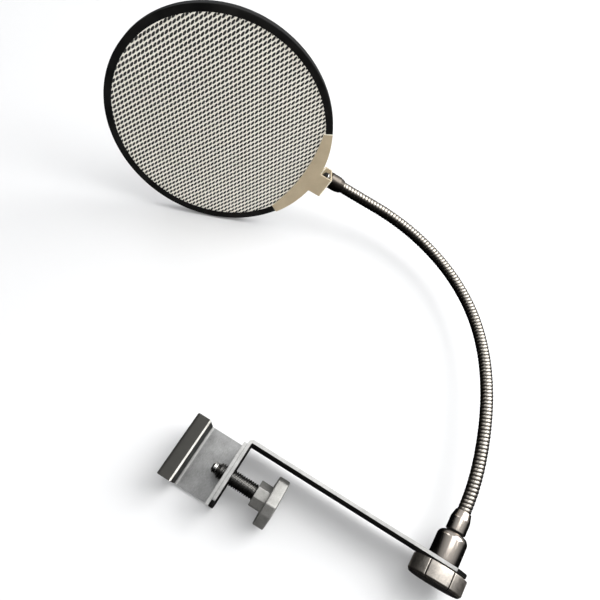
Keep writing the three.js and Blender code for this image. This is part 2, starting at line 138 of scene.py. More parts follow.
# ---- materials -----------------------------------------------------------------
class Look:
    """A Principled material and short ways to add nodes to it."""

    def __init__(self, name, colour, rough, metal=0.0, **sockets):
        self.material = bpy.data.materials.new(name)
        self.material.use_nodes = True
        self.tree = self.material.node_tree
        self.shader = self.tree.nodes["Principled BSDF"]
        self.shader.inputs["Base Color"].default_value = (*colour, 1)
        self.shader.inputs["Roughness"].default_value = rough
        self.shader.inputs["Metallic"].default_value = metal
        for key, value in sockets.items():
            self.shader.inputs[key.replace("_", " ")].default_value = value
        self.bumps = None

    def node(self, kind, inputs=None, **settings):
        n = self.tree.nodes.new("ShaderNode" + kind)
        for key, value in settings.items():
            setattr(n, key, value)
        for key, value in (inputs or {}).items():
            if isinstance(value, bpy.types.NodeSocket):
                self.tree.links.new(value, n.inputs[key])
            else:
                n.inputs[key].default_value = value
        return n

    def link(self, output, socket):
        self.tree.links.new(output, self.shader.inputs[socket])

    def place(self, scale=(1, 1, 1)):
        """Object space in millimetres, stretched by scale."""
        source = self.node("TexCoord").outputs["Object"]
        scale = tuple(s / MM for s in scale)
        return self.node("Mapping", {"Vector": source, "Scale": scale}).outputs["Vector"]

    def weave_place(self):
        """The piece's own sheet coordinates, stored in its mesh."""
        return self.node("Attribute", attribute_name="flow").outputs["Vector"]

    def noise(self, scale=1.0, detail=3.0, stretch=(1, 1, 1), rough=0.55):
        where = self.place(stretch)
        n = self.node("TexNoise", {"Vector": where, "Scale": scale, "Detail": detail,
                                   "Roughness": rough})
        return n.outputs["Fac"]

    def range(self, value, low, high, to_low, to_high):
        n = self.node("MapRange", {"Value": value, "From Min": low, "From Max": high,
                                   "To Min": to_low, "To Max": to_high})
        return n.outputs["Result"]

    def mix(self, factor, a, b):
        n = self.node("Mix", data_type="RGBA")
        for value, socket in ((factor, n.inputs[0]), (a, n.inputs[6]), (b, n.inputs[7])):
            if isinstance(value, bpy.types.NodeSocket):
                self.tree.links.new(value, socket)
            else:
                socket.default_value = (*value, 1) if isinstance(value, tuple) else value
        return n.outputs[2]

    def math(self, operation, a, b):
        return self.node("Math", {0: a, 1: b}, operation=operation).outputs[0]

    def average(self, a, b):
        return self.math("ADD", self.math("MULTIPLY", a, 0.5), self.math("MULTIPLY", b, 0.5))

    def bump(self, height, distance):
        inputs = {"Height": height, "Distance": distance * MM, "Strength": 1.0}
        if self.bumps:
            inputs["Normal"] = self.bumps
        self.bumps = self.node("Bump", inputs).outputs["Normal"]
        self.link(self.bumps, "Normal")

    def edges(self, radius, low=0.02, high=0.25):
        """0 on flat parts, 1 on edges narrower than radius (mm)."""
        soft = self.node("Bevel", {"Radius": radius * MM}, samples=6).outputs["Normal"]
        hard = self.node("NewGeometry").outputs["Normal"]
        dot = self.node("VectorMath", {0: soft, 1: hard}, operation="DOT_PRODUCT")
        bent = self.math("SUBTRACT", 1.0, dot.outputs["Value"])
        return self.range(bent, low, high, 0.0, 1.0)


def shade(colour, amount):
    return tuple(min(1.0, c * amount) for c in colour)


def metal_look(name, colour, rough, grain=(1, 1, 1), vary=0.25, streak=0.1, scratch=0.0,
               cloud=12.0, bump=0.01, metal=1.0, **sockets):
    """Metal with directional grain, cloudy colour, uneven gloss and fine scratches.

    vary is the share that the colour varies by, streak the same for roughness, cloud the
    size of its patches and bump the depth of its grain, both in millimetres.
    """
    look = Look(name, colour, rough, metal, **sockets)
    fine = look.noise(1.0, 4.0, grain, 0.65)
    clouds = look.noise(1.0 / cloud, 3.0)
    dark = shade(colour, 1 - vary)
    light = shade(colour, 1 + vary)
    tone = look.average(fine, clouds)
    base = look.mix(look.range(tone, 0.32, 0.68, 0.0, 1.0), dark, light)
    gloss = look.range(fine, 0.3, 0.7, rough - streak, rough + streak)
    if scratch:
        lines = look.noise(1.0, 2.0, (0.35, 5.0, 0.6), 0.5)
        mark = look.range(lines, 0.66, 0.7, 0.0, scratch)
        base = look.mix(mark, base, shade(colour, 1.7))
        gloss = look.math("SUBTRACT", gloss, look.math("MULTIPLY", mark, 0.12))
    look.link(base, "Base Color")
    look.link(gloss, "Roughness")
    look.bump(fine, bump)
    return look


def black_paint(name, wear):
    """Satin black paint with an orange-peel skin, dusty clouds and bare metal at its edges."""
    dark, dusty = (0.004, 0.004, 0.0039), (0.011, 0.0107, 0.01)
    rough = 0.42
    look = Look(name, dusty, rough, 0.0, Specular_IOR_Level=0.15)
    peel = look.noise(0.9, 2.0)
    clouds = look.noise(0.06, 4.0)
    rub = look.noise(0.35, 5.0, rough=0.7)
    base = look.mix(look.range(clouds, 0.35, 0.7, 0.0, 1.0), dark, dusty)
    worn = look.math("MULTIPLY", look.edges(0.45), look.range(rub, 0.42, 0.6, 0.0, wear))
    base = look.mix(worn, base, (0.42, 0.41, 0.39))
    look.link(base, "Base Color")
    look.link(worn, "Metallic")
    look.link(look.range(clouds, 0.3, 0.7, rough - 0.05, rough + 0.1), "Roughness")
    look.bump(peel, 0.012)
    return look


def rubber_look(name, low, high):
    """Matt grained rubber with a cloudy film of dust."""
    look = Look(name, low, 0.6)
    dust = look.noise(0.12, 5.0, rough=0.7)
    look.link(look.mix(look.range(dust, 0.35, 0.75, 0.0, 1.0), low, high), "Base Color")
    look.link(look.range(dust, 0.3, 0.7, 0.5, 0.7), "Roughness")
    look.bump(look.noise(3.0, 3.0), 0.03)
    return look


def make_looks():
    looks = {}
    looks["paint"] = black_paint("black_paint", 0.12)
    looks["rim"] = black_paint("rim_paint", 0.25)
    # Bare steel of the cut edges; on the channel's bend at the jaw it serves as a painted
    # highlight.
    looks["cut"] = metal_look("cut_steel_and_painted_highlight", (0.44, 0.435, 0.42), 0.42, (0.9, 3.0, 3.0), vary=0.25,
                              streak=0.1, cloud=5.0)
    looks["plate"] = metal_look("satin_steel", (0.27, 0.27, 0.265), 0.42, (1.6, 0.6, 1.6),
                                vary=0.3, streak=0.07, scratch=0.35, cloud=9.0, metal=0.75)
    looks["thread"] = metal_look("thread_steel", (0.2, 0.195, 0.185), 0.3, (3, 3, 3), vary=0.4,
                                 cloud=3.0)
    looks["tip"] = metal_look("tip_steel", (0.7, 0.69, 0.66), 0.2, (3, 3, 3), vary=0.2)
    looks["knob"] = metal_look("cast_knob", (0.27, 0.265, 0.25), 0.4, (1.6, 1.6, 1.6), vary=0.22,
                               streak=0.08, cloud=5.0, bump=0.008, metal=0.6)
    looks["lock"] = metal_look("lock_metal", (0.6, 0.55, 0.49), 0.44, (1.2, 1.2, 1.2),
                               vary=0.3, streak=0.12, cloud=4.0, bump=0.02)
    looks["gun"] = metal_look("gunmetal", (0.5, 0.445, 0.39), 0.2, (1.0, 0.15, 1.0), vary=0.1,
                              streak=0.02, cloud=8.0, bump=0.002)
    looks["collar"] = metal_look("collar_steel", (0.12, 0.105, 0.09), 0.38, (1.2, 1.2, 1.2),
                                 vary=0.15, streak=0.05, cloud=8.0, bump=0.004)
    # Black: painted shade in grooves, gaps, undersides and rounded sheet edges, and the head
    # screw's colour.
    looks["groove"] = metal_look("black_and_painted_shade", (0.012, 0.011, 0.01), 0.6, (2, 2, 2), metal=0.0,
                                 Specular_IOR_Level=0.15)
    looks["stud"] = metal_look("stud_steel", (0.4, 0.4, 0.39), 0.3, (3, 3, 3))
    looks["neck"] = metal_look("neck_steel", (0.33, 0.305, 0.27), 0.3, (0.5, 0.5, 0.5), vary=0.12,
                               streak=0.03, cloud=14.0, bump=0.001)
    looks["mesh"] = metal_look("mesh_metal", (0.93, 0.89, 0.8), 0.4, (1.5, 1.5, 1.5), vary=0.05,
                               cloud=30.0, metal=0.12)

    looks["rubber"] = rubber_look("boot_rubber", (0.02, 0.0185, 0.015), (0.035, 0.033, 0.028))
    # Black painted shade for the boot's inner side face.
    looks["rubber_painted_shade"] = rubber_look("boot_inside_painted_shade", (0.004, 0.004, 0.0035), (0.01, 0.0095, 0.008))
    # Pale painted highlight for the boot's rounded inner top edge.
    looks["rubber_painted_highlight"] = rubber_look("boot_edge_painted_highlight", (0.4, 0.39, 0.35), (0.85, 0.83, 0.78))

    gold = Look("champagne_satin", (0.5, 0.41, 0.275), 0.5, 0.3)
    speck = gold.noise(2.4, 4.0, rough=0.7)
    clouds = gold.noise(0.1, 3.0)
    tone = gold.average(speck, clouds)
    base = gold.mix(gold.range(tone, 0.36, 0.64, 0.0, 1.0), (0.45, 0.365, 0.245),
                    (0.55, 0.455, 0.31))
    # Rounded edges made paler: a painted highlight.
    base = gold.mix(gold.math("MULTIPLY", gold.edges(0.35), 0.8), base, (0.8, 0.74, 0.62))
    gold.link(base, "Base Color")
    gold.link(gold.range(speck, 0.3, 0.7, 0.42, 0.58), "Roughness")
    gold.bump(speck, 0.02)
    looks["gold"] = gold
    # A paler copy of the champagne for the plate's rounded edges: a painted highlight.
    looks["gold_painted_highlight"] = metal_look("champagne_edge_painted_highlight", (0.95, 0.88, 0.72), 0.45, (2, 2, 2), vary=0.1,
                                    metal=0.2)

    nylon = Look("black_nylon", (0.006, 0.006, 0.006), 0.7, 0.0, Sheen_Weight=0.15)
    waves = []
    for axis in ("X", "Y"):
        wave = nylon.node("TexWave", {"Vector": nylon.weave_place(), "Scale": 1.0},
                          bands_direction=axis)
        waves.append(wave.outputs["Fac"])
    weave = nylon.math("MAXIMUM", *waves)
    nylon.link(nylon.mix(weave, (0.003, 0.003, 0.003), (0.02, 0.02, 0.019)), "Base Color")
    nylon.bump(weave, 0.1)
    looks["nylon"] = nylon

    plastic = Look("ring_plastic", (0.012, 0.012, 0.012), 0.5, 0.0)
    plastic.link(plastic.range(plastic.noise(1.0, 3.0), 0.3, 0.7, 0.42, 0.6), "Roughness")
    plastic.bump(plastic.noise(2.0, 2.0), 0.02)
    looks["plastic"] = plastic
    return {key: look.material for key, look in looks.items()}


LOOKS = make_looks()


# ---- mesh helpers ----------------------------------------------------------------
def fillet(points, steps=5):
    """Closed outline of (x, y, radius) corners with each corner rounded."""
    out = []
    count = len(points)
    for i, (x, y, r) in enumerate(points):
        here = Vector((x, y))
        if r <= 0:
            out.append((x, y))
            continue
        to_last = (Vector(points[i - 1][:2]) - here).normalized()
        to_next = (Vector(points[(i + 1) % count][:2]) - here).normalized()
        half = to_last.angle(to_next) / 2
        reach = r / math.tan(half)
        middle = here + (to_last + to_next).normalized() * (r / math.sin(half))
        first = here + to_last * reach - middle
        last = here + to_next * reach - middle
        sweep = math.atan2(first.x * last.y - first.y * last.x, first.dot(last))
        for k in range(steps + 1):
            a = sweep * k / steps
            c, s = math.cos(a), math.sin(a)
            out.append((middle.x + first.x * c - first.y * s, middle.y + first.x * s + first.y * c))
    return out


def lathe(outline, columns, radius_at=None):
    """Turns a closed (radius, height) outline about Z. radius_at(r, angle) may reshape it."""
    verts, faces, rings = [], [], []
    for r, h in outline:
        if r < 1e-6:
            rings.append([len(verts)] * columns)
            verts.append((0, 0, h))
            continue
        rings.append(list(range(len(verts), len(verts) + columns)))
        for c in range(columns):
            a = TAU * c / columns
            q = radius_at(r, a) if radius_at else r
            verts.append((q * math.cos(a), q * math.sin(a), h))
    for i, low in enumerate(rings):
        high = rings[(i + 1) % len(rings)]
        for c in range(columns):
            d = (c + 1) % columns
            corners = []
            for v in (low[c], low[d], high[d], high[c]):
                if v not in corners:
                    corners.append(v)
            if len(corners) > 2:
                faces.append(corners)
    return verts, faces


def prism(outline, low, high):
    """A flat outline extruded along Z."""
    n = len(outline)
    verts = [(x, y, low) for x, y in outline] + [(x, y, high) for x, y in outline]
    faces = [list(range(n))[::-1], list(range(n, 2 * n))]
    faces += [[i, (i + 1) % n, n + (i + 1) % n, n + i] for i in range(n)]
    return verts, faces


def finish_mesh(mesh, sharp):
    """Joins doubled points, turns faces outwards and shades smooth below sharp degrees."""
    bm = bmesh.new()
    bm.from_mesh(mesh)
    bmesh.ops.remove_doubles(bm, verts=bm.verts, dist=1e-7)
    bmesh.ops.recalc_face_normals(bm, faces=bm.faces)
    bm.to_mesh(mesh)
    bm.free()
    mesh.shade_smooth()
    mesh.set_sharp_from_angle(angle=math.radians(sharp))


def show(name, verts, faces, place, body, slot, looks, replaces=(), sharp=40, flow=None,
         bevel=None):
    """Makes a piece from local millimetres, puts it in place and rides it on a body.

    flow gives each point's sheet coordinates; bevel is (width, segments).
    """
    mesh = bpy.data.meshes.new(name)
    mesh.from_pydata([place @ Vector(v) for v in verts], [], faces)
    if bevel:
        soften(mesh, *bevel)
    finish_mesh(mesh, sharp)
    if bevel:
        weigh_normals(mesh)
    if flow:
        back = place.inverted()
        values = [c for v in mesh.vertices for c in flow(*(back @ v.co))]
        mesh.attributes.new("flow", "FLOAT_VECTOR", "POINT").data.foreach_set("vector", values)
    return dress(name, mesh, body, looks, replaces)


def dress(name, mesh, body, looks, replaces):
    """Makes the object, and gives it its looks, body and replaced nodes."""
    piece = bpy.data.objects.new(name, mesh)
    bpy.context.scene.collection.objects.link(piece)
    for look in looks if isinstance(looks, (list, tuple)) else [looks]:
        mesh.materials.append(LOOKS[look])
    if body:
        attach(piece, body)
    if replaces:
        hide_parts(*replaces)
    return piece


def soften(mesh, width, segments, angle=40):
    """Rounds every edge sharper than angle, width in millimetres."""
    bm = bmesh.new()
    bm.from_mesh(mesh)
    bmesh.ops.remove_doubles(bm, verts=bm.verts, dist=1e-7)
    bmesh.ops.recalc_face_normals(bm, faces=bm.faces)
    limit = math.radians(angle)
    hard = [e for e in bm.edges if e.is_manifold and e.calc_face_angle(0) > limit]
    bmesh.ops.bevel(bm, geom=hard, offset=width * MM, segments=segments, profile=0.5,
                    affect="EDGES", clamp_overlap=True)
    bm.to_mesh(mesh)
    bm.free()


def weigh_normals(mesh):
    """Keeps wide faces flat and lets only their narrow rounded edges bend the light."""
    sums = [Vector() for _ in mesh.vertices]
    for face in mesh.polygons:
        for v in face.vertices:
            sums[v] += face.normal * face.area
    mesh.normals_split_custom_set_from_vertices([total.normalized() for total in sums])


def paint_shade(piece, place, test):
    """Gives the second look, a painted shade, to faces for which test(place in mm, distance from Z)
    holds.
    """
    back = place.inverted()
    for face in piece.data.polygons:
        at = back @ face.center
        face.material_index = 1 if test(at, math.hypot(at.x, at.y)) else 0


def from_cad(name, bevel, looks, body, pick, place=BRACKET):
    """A CAD node's own shape with its edges rounded, as a new piece that replaces it.

    pick(normal, middle) chooses each face's look, in place's own millimetres.
    """
    hard_edge = 38
    source = frame["nodes"][name].data
    mesh = source.copy()
    mesh.name = name + "_body"
    mesh.materials.clear()
    bm = bmesh.new()
    bm.from_mesh(mesh)
    bmesh.ops.remove_doubles(bm, verts=bm.verts, dist=2e-6)
    bmesh.ops.dissolve_limit(bm, angle_limit=math.radians(0.6), verts=bm.verts, edges=bm.edges)
    bm.to_mesh(mesh)
    bm.free()
    soften(mesh, bevel, 3, hard_edge)
    finish_mesh(mesh, hard_edge)
    weigh_normals(mesh)
    dress(name + "_body", mesh, body, looks, (name,))
    back = place.inverted()
    turn = place.to_3x3().normalized().inverted()
    for face in mesh.polygons:
        face.material_index = pick(turn @ face.normal, back @ face.center)


# ---- arm and clamp ----------------------------------------------------------------
FLAT = 0.97  # a face this square to an axis is the flat itself, not its rounded edge


def build_arm():
    """The strip, channel and boot; n and at are a face's normal and middle on the bracket."""
    def cut_edge(n, at):
        return 1 if abs(n.z) > FLAT else 0

    def sheet_edge(n, at):
        above_back = at.z > 5
        if above_back:
            # Flat end faces are bare cut steel; their rounded edges get black as painted shade.
            return 1 if n.z > FLAT else 2 if n.z > 0.3 else 0
        # Below the back, the bend at the jaw's foot gets the pale cut steel as a painted highlight.
        return 1 if n.x > 0.15 and n.z > 0.2 else 0

    def boot_face(n, at):
        # The rounded inner top edge gets a pale painted highlight.
        highlight_edge = n.x > 0.25 and n.z > 0.25
        if highlight_edge:
            return 2
        # The inner side face gets a black painted shade.
        return 1 if n.x > 0.8 else 0

    from_cad("arm_strip", 0.55, ["paint", "cut"], "arm", cut_edge)
    from_cad("clamp_channel", 0.4, ["plate", "cut", "groove"], "arm", sheet_edge)
    from_cad("jaw_boot", 0.4, ["rubber", "rubber_painted_shade", "rubber_painted_highlight"], "arm",
             boot_face)


build_arm()
for name, look in (("lock_washer", "paint"), ("lock_stud", "stud"), ("head_screw", "groove"),
                   ("head_washer", "stud"), ("spacer_ring", "plastic"),
                   ("retaining_ring", "plastic")):
    frame["nodes"][name].data.materials.clear()
    frame["nodes"][name].data.materials.append(LOOKS[look])


# ---- a skin whose rows follow a helix -----------------------------------------------
def helical_skin(place_at, shape, pitch, columns, rows, inner):
    """Closed tube. shape: [(share of a pitch, radius)]. place_at(distance, angle, radius).

    grid holds the outside, core the bore; a lap's last column is the next lap's first.
    """
    n = len(shape)
    verts, faces = [], []

    def outer(j, c):
        share, radius = shape[j % n]
        lap = c / columns
        return (pitch * (j // n + share + lap), TAU * lap, radius)

    grid = {}
    for j in range(rows + 1):
        for c in range(columns + 1):
            if c == columns and j + n <= rows:
                continue
            grid[j, c] = len(verts)
            verts.append(place_at(*outer(j, c)))

    def at(j, c):
        return grid[j + n, 0] if c == columns and j + n <= rows else grid[j, c]

    for j in range(rows):
        for c in range(columns):
            faces.append([at(j, c), at(j, c + 1), at(j + 1, c + 1), at(j + 1, c)])
    laps = rows // n
    core = {}
    for j in range(laps + 2):
        for c in range(columns):
            if j == laps + 1 and c:
                continue
            core[j, c] = len(verts)
            verts.append(place_at(pitch * (j + c / columns), TAU * c / columns, inner))

    def deep(j, c):
        return core[j + 1, 0] if c == columns else core[j, c]

    for j in range(laps):
        for c in range(columns):
            faces.append([deep(j, c), deep(j + 1, c), deep(j + 1, c + 1), deep(j, c + 1)])
    for c in range(columns):
        faces.append([at(0, c + 1), at(0, c), deep(0, c), deep(0, c + 1)])
        faces.append([at(rows, c), at(rows, c + 1), deep(laps, c + 1), deep(laps, c)])
    faces.append([at(j, 0) for j in range(n + 1)] + [deep(1, 0), deep(0, 0)])
    faces.append([at(rows - n + j, columns) for j in range(n + 1)]
                 + [deep(laps, columns), deep(laps, 0)])
    return verts, faces


# ---- clamp screw -------------------------------------------------------------------
PITCH = 1.5
THREAD_ROOT = 4.1
THREAD_CREST = 4.9
THREAD_BORE = 1.9


def build_screw():
    low, high = -7.2, 19.8
    chamfer, chamfer_drop = 1.2, 0.9

    def at(distance, angle, radius):
        x = min(max(low + distance - PITCH, low), high)
        edge = min(1.0, max(0.0, (x - low) / chamfer))
        r = radius - (1 - edge) * chamfer_drop if radius > THREAD_BORE else radius
        return (r * math.cos(angle), r * math.sin(angle), x)

    shoulder = THREAD_CREST - 0.08
    thread = [
        (0.0, THREAD_ROOT), (0.12, THREAD_ROOT), (0.4, shoulder), (0.46, THREAD_CREST),
        (0.6, THREAD_CREST), (0.66, shoulder), (0.94, THREAD_ROOT),
    ]
    laps = int((high - low) / PITCH) + 2
    verts, faces = helical_skin(at, thread, PITCH, 40, laps * len(thread), THREAD_BORE)
    show("screw_thread", verts, faces, SCREW, "screw", "dark_steel", "thread", ("clamp_screw",), 50)
    neck = fillet([(0, -9.6, 0), (2, -9.6, 0.3), (2, -4, 0), (0, -4, 0)])
    show("screw_pin", *lathe(neck, 32), SCREW, "screw", "dark_steel", "thread")
    tip = fillet([
        (0, -11, 0), (2.5, -11, 0.4), (3.6, -9.9, 0.3), (3.6, -9.3, 0.15), (3.35, -9.1, 0.1),
        (3.35, -8.8, 0.1), (3.6, -8.6, 0.15), (3.6, -8.1, 0.3), (3.1, -7.5, 0.2), (2.3, -7.5, 0),
        (2.3, -9.9, 0), (0, -9.9, 0),
    ], 3)
    show("screw_cap", *lathe(tip, 48), SCREW, "screw_slide", "bright_steel", "tip",
         ("screw_tip",), 30)


def build_screw_knob():
    """A square head with wide flats and cut corners on an eight-sided hub."""
    head_radius, flat_at, flat_half = 15.5, 66, 32
    hub_radius, hub_at = 8.3, 64

    def corners(radius, degrees):
        turns = [math.radians(a) for a in degrees]
        return [(radius * math.cos(a), radius * math.sin(a)) for a in turns]

    sides = (-flat_half, flat_half)
    head = corners(head_radius, [flat_at + 90 * k + side for k in range(4) for side in sides])
    hub = corners(hub_radius, [hub_at + 45 * k for k in range(8)])
    show("screw_knob_head", *prism(head, 26.3, 33.5), SCREW, "screw", "cast_knob", "knob",
         ("screw_knob",), 25, bevel=(1.0, 4))
    show("screw_knob_hub", *prism(hub, 18.6, 27), SCREW, "screw", "cast_knob", "knob",
         sharp=25, bevel=(0.4, 3))


build_screw()
build_screw_knob()


# ---- lock knob and base ---------------------------------------------------------------
def build_lock_knob():
    """A round knob with seven faint flats and a fine groove between each two."""
    r, low, high = 16.9, -13.9, -3.2
    lobes, start = 7, math.radians(12)
    half = math.pi / lobes
    flattening, groove_depth, groove_half = 0.12, 0.9, 0.02

    def from_groove(angle):
        a = (angle - start) % (2 * half)
        return min(a, 2 * half - a)

    def side(radius, angle):
        off = from_groove(angle)
        flat = r * math.cos(half) / math.cos(half - off) * flattening + r * (1 - flattening)
        groove = groove_depth * math.exp(-((off / groove_half) ** 2))
        share = max(0.0, min(1.0, (radius - r + 4) / 3))
        return radius - (r - flat + groove) * share

    outline = fillet([
        (0, low, 0), (15.5, low, 0.9), (r, low + 1.6, 0.8), (r, high, 0.8), (4.3, high, 0.2),
        (4.3, high - 8, 0), (0, high - 8, 0),
    ])
    knob = show("lock_knob_body", *lathe(outline, 630, side), STUD, "lock_knob", "lock_plastic",
                ["lock", "groove"], ("lock_knob",), 40)

    # The grooves and the underside get black as painted shade.
    def dark(at, around):
        in_groove = around > r - 3 and from_groove(math.atan2(at.y, at.x)) < 0.022
        return in_groove or at.z < low + 0.3

    paint_shade(knob, STUD, dark)


def build_base():
    boss = fillet([
        (4.3, 0.15, 0), (9.5, 0.15, 0.4), (9.5, 17.6, 4.2), (5.0, 17.6, 0.3), (5.0, 14.6, 0),
        (0, 14.6, 0), (0, 13.4, 0), (4.3, 13.4, 0),
    ], 8)
    body = show("base_boss_body", *lathe(boss, 128), STUD, "base", "gunmetal", ["gun", "groove"],
                ("base_boss",), 30)
    # The boss's inner step round the collar gets black as painted shade.
    paint_shade(body, STUD, lambda at, around: around < 6 and at.z > 14)
    collar = fillet([
        (0, 14.9, 0), (4.7, 14.9, 0), (4.7, 18.5, 0.1), (6.2, 18.5, 0.5), (6.2, 26.6, 3.0),
        (4.95, 31.5, 0.35), (4.4, 31.5, 0.1), (4.4, 20.2, 0), (0, 20.2, 0),
    ], 8)
    body = show("base_collar", *lathe(collar, 128), STUD, "base", "gunmetal", ["gun", "groove"],
                ("base_ferrule",), 30)
    # The collar's foot inside the boss gets black as painted shade.
    paint_shade(body, STUD, lambda at, around: at.z < 18.75)


build_lock_knob()
build_base()


# ---- gooseneck ---------------------------------------------------------------------------
RIB_PITCH = 2.57
NECK_BORE = 2.6
LINK = 32.0


def rib_shape(samples=10, groove=3.8, crest=4.32):
    """One rounded rib, as (share of a pitch, radius)."""
    shape = []
    for k in range(samples):
        u = 0.5 - 0.5 * math.cos(math.pi * k / samples)
        bead = (1 - abs(2 * u - 1) ** 2.6) ** 0.5
        shape.append((u, groove + (crest - groove) * bead))
    return shape


def neck_arcs():
    """One arc across each joint, mid-link to mid-link: (start, way, side, bend axis, angle)."""
    foot = BRACKET @ Vector((STUD_X, 31.5, 0))
    joints = []
    for i in range(1, 10):
        joint = JOINTS[("neck_bend_%d" if i % 2 else "neck_tilt_%d") % i]
        joints.append(Vector(joint["pos_m"]))
    tip = joints[-1] - head_x * LINK / 2 * MM
    way = [(b - a).normalized() for a, b in zip([foot] + joints, joints + [tip])]
    arcs = []
    side = (BRACKET.to_3x3() @ Vector((0, 0, 1))).normalized()
    for i, joint in enumerate(joints):
        start = joint - way[i] * LINK / 2 * MM
        side = (side - way[i] * side.dot(way[i])).normalized()
        axis = way[i].cross(way[i + 1])
        bend = way[i].angle(way[i + 1])
        arcs.append((start, way[i], side.copy(), axis.normalized(), bend))
        side = Matrix.Rotation(bend, 3, axis) @ side
    return arcs, tip, way[-1], side


def build_neck():
    arcs, tip, way_out, side_out = neck_arcs()
    lengths = []
    for *_, bend in arcs:
        lengths.append(LINK / 2 / math.tan(bend / 2) * bend)
    knots = [0.0]
    for length in lengths:
        knots.append(knots[-1] + length)

    def along(s):
        """Position, direction and side at a distance (mm) from the ferrule's mouth."""
        if s < 0:
            start, way, side = arcs[0][:3]
            return start + way * s * MM, way, side
        if s >= knots[-1]:
            return tip + way_out * (s - knots[-1]) * MM, way_out, side_out
        i = max(k for k in range(len(arcs)) if knots[k] <= s)
        start, way, side, axis, bend = arcs[i]
        a = bend * (s - knots[i]) / lengths[i]
        radius = LINK / 2 / math.tan(bend / 2)
        inward = axis.cross(way)
        place = start + (way * math.sin(a) + inward * (1 - math.cos(a))) * radius * MM
        turn = Matrix.Rotation(a, 3, axis)
        return place, turn @ way, turn @ side

    shape = rib_shape()
    per_lap = len(shape)
    first = -10.28
    tucked = 6.0
    stops = [first] + knots[1:-1] + [knots[-1] + tucked]
    laps = [round((s - first) / RIB_PITCH) for s in stops]
    nodes = ["neck_stub"] + ["neck_link_%d" % i for i in range(1, 9)] + ["neck_end"]
    for i in range(9):
        origin = first + laps[i] * RIB_PITCH

        def at(distance, angle, radius):
            place, way, side = along(origin + distance)
            across = way.cross(side)
            return place + (side * math.cos(angle) + across * math.sin(angle)) * radius * MM

        rows = (laps[i + 1] - laps[i]) * per_lap
        verts, faces = helical_skin(at, shape, RIB_PITCH, 40, rows, NECK_BORE)
        mesh = bpy.data.meshes.new("neck_coil_%d" % (i + 1))
        mesh.from_pydata([Vector(v) for v in verts], [], faces)
        finish_mesh(mesh, 60)
        replaced = (nodes[i],) if i < 8 else (nodes[8], nodes[9])
        piece = dress(mesh.name, mesh, None, "neck", replaced)
        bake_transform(piece)


build_neck()


# ---- head ------------------------------------------------------------------------------
RIM_IN = 70.2
RIM_OUT = 75
RIM_WALL = 0.8


def rounded_edge(n, at):
    return 0 if max(abs(n.x), abs(n.y), abs(n.z)) > FLAT else 1


def build_head():
    rim = fillet([
        (RIM_IN, 0, 0.35), (RIM_OUT, 0, 0.55), (RIM_OUT, -RIM_DEPTH, 0.6),
        (RIM_IN, -RIM_DEPTH, 0.25), (RIM_IN, -RIM_DEPTH + RIM_WALL, 0.25),
        (RIM_OUT - RIM_WALL, -RIM_DEPTH + RIM_WALL, 0), (RIM_OUT - RIM_WALL, -RIM_WALL, 0),
        (RIM_IN, -RIM_WALL, 0.25),
    ], 4)
    show("rim_ring", *lathe(rim, 240), HEAD, "head", "black_aluminium", "rim", ("rim_channel",), 35)
    # The plate's rounded edges get the paler champagne as a painted highlight.
    from_cad("head_plate", 0.4, ["gold", "gold_painted_highlight"], "head", rounded_edge, HEAD)
    collar = fillet([
        (0, 90.2, 0), (4.4, 90.2, 0), (4.4, 96.5, 0.1), (4.95, 96.5, 0.3), (5.9, 92.6, 2.5),
        (5.9, 84.9, 0.5), (2.2, 84.9, 0), (2.2, 88.2, 0), (0, 88.2, 0),
    ], 7)
    show("head_collar", *lathe(collar, 112), FERRULE, "neck_tip", "black_metal", "collar",
         ("head_ferrule",), 30)


def build_mesh_screen():
    """Expanded metal: a diamond tile round each slit, its strands tilted across the slit."""
    half_short, half_long = 1.5, 2.725
    slit_x, slit_y = 0.76, 1.9
    slope, thick, slant = 0.18, 0.2, 0.1
    visible, outside, depth = 70.7, 73.4, 1.3
    sides, strand_z, lip_drop, lip_share = 12, 0.1, 0.08, 0.6
    edge, mid, lip, wall, back = [], [], [], [], []
    for k in range(sides):
        a = TAU * k / sides
        c, s = math.cos(a), math.sin(a)
        span = abs(math.remainder(a, math.pi)) / (math.pi / 2)
        x = math.copysign(half_short * (1 - span), c)
        y = math.copysign(half_long * span, s)
        hy = math.copysign(slit_y * abs(s) ** 1.1, s)
        hx = math.copysign(slit_x * abs(c) ** 1.1, c) + slant * hy
        lean = -slope * c
        edge.append((x, y, strand_z))
        mid.append((x * (1 - lip_share) + hx * lip_share, y * (1 - lip_share) + hy * lip_share,
                    strand_z + lean * 0.5))
        lip.append((hx, hy, lean - lip_drop))
        wall.append((hx * 1.06, hy * 1.03, lean - lip_drop - thick))
        back.append((x, y, -thick - 0.25))
    loops = [edge, mid, lip, wall, back]
    verts, faces = [], []
    for row in range(-30, 31):
        for col in range(-28, 29):
            cx = (2 * col + row % 2) * half_short
            cy = row * half_long
            nearest = min(math.hypot(cx + x, cy + y) for x, y, z in edge)
            if nearest > visible:
                continue
            base = len(verts)
            for loop in loops:
                for x, y, z in loop:
                    far = math.hypot(cx + x, cy + y)
                    keep = min(1.0, outside / far) if far else 1.0
                    verts.append(((cx + x) * keep, (cy + y) * keep, z - depth))
            for k in range(len(loops) - 1):
                inner, outer = base + k * sides, base + (k + 1) * sides
                for i in range(sides):
                    j = (i + 1) % sides
                    faces.append([inner + i, inner + j, outer + j, outer + i])
    mesh = bpy.data.meshes.new("screen_mesh")
    mesh.from_pydata([HEAD @ Vector(v) for v in verts], [], faces)
    finish_mesh(mesh, 60)
    dress("screen_mesh", mesh, "head", "mesh", ("mesh_screen",))


